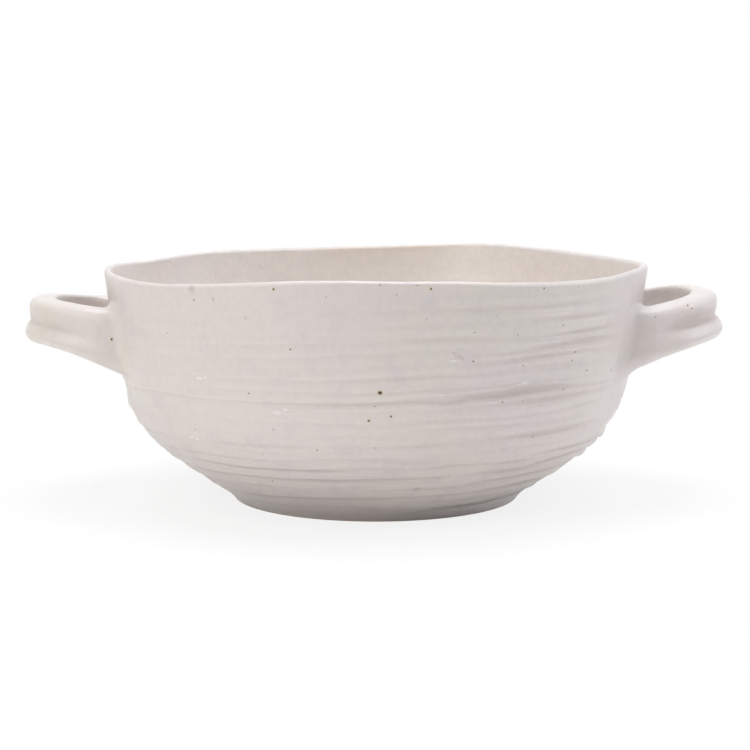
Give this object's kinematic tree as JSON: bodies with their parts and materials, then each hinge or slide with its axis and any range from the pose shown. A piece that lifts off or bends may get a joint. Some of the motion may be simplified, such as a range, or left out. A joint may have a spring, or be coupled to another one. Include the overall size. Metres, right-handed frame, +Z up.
{
  "type": "lug soup bowl",
  "caption": "Hand-thrown stoneware soup bowl with a round ringed body, a low foot and a horizontal strap loop handle luted to either side.",
  "frame": {"origin": "on the bowl's axis, in the plane that the foot rests on", "axes": "+Z up along the bowl's axis, +X through the right handle, the pictured front towards -Y"},
  "size_m": [0.186, 0.144, 0.0626],
  "materials": {
    "body_glaze": "satin-matt off-white glaze with fine iron specks",
    "handle_glaze": "satin-matt off-white glaze with fine iron specks"
  },
  "bodies": {
    "root": {"bowl_body": "body_glaze", "left_handle": "handle_glaze", "left_front_collar": "handle_glaze", "left_rear_collar": "handle_glaze", "right_handle": "handle_glaze", "right_front_collar": "handle_glaze", "right_rear_collar": "handle_glaze"}
  },
  "joints": []
}
